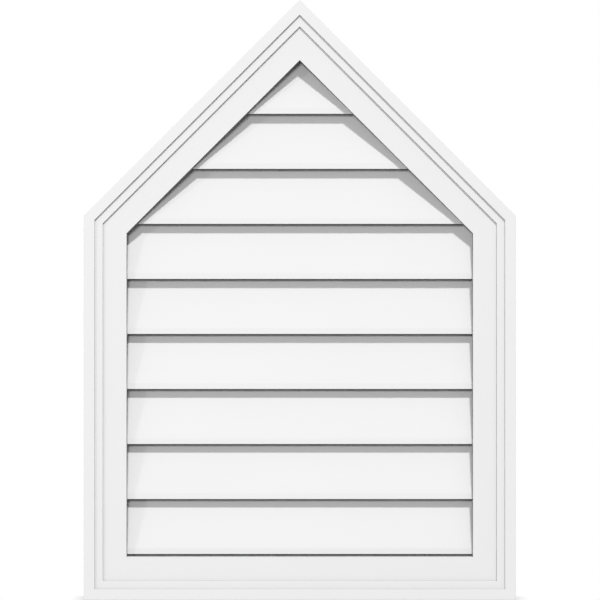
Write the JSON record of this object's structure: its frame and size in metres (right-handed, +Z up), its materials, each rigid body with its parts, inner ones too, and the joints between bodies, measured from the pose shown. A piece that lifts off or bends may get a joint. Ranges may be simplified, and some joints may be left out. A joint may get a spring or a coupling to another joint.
{
  "type": "gable vent",
  "caption": "Peaked louvred gable vent: a stepped, mitred moulding frames sloping slats with an insect screen behind, and fixes flat to a wall so that attic air can pass.",
  "frame": {"origin": "middle of the sill's lower edge, on the wall plane that the back of the frame bears on", "axes": "+X to the right as seen from the front, +Y into the wall, +Z up to the peak"},
  "size_m": [0.508, 0.0381, 0.706],
  "materials": {
    "frame_pvc": "satin white cellular PVC",
    "louvre_pvc": "satin white cellular PVC",
    "screen_mesh": "dull woven wire",
    "staple_wire": "galvanised"
  },
  "bodies": {
    "root": {"sill": "frame_pvc", "left_jamb": "frame_pvc", "right_jamb": "frame_pvc", "left_rake": "frame_pvc", "right_rake": "frame_pvc", "rain_bar": "frame_pvc", "louvre_1": "louvre_pvc", "louvre_2": "louvre_pvc", "louvre_3": "louvre_pvc", "louvre_4": "louvre_pvc", "louvre_5": "louvre_pvc", "louvre_6": "louvre_pvc", "louvre_7": "louvre_pvc", "louvre_8": "louvre_pvc", "louvre_9": "louvre_pvc", "insect_screen": "screen_mesh", "screen_staples": "staple_wire"}
  },
  "joints": []
}
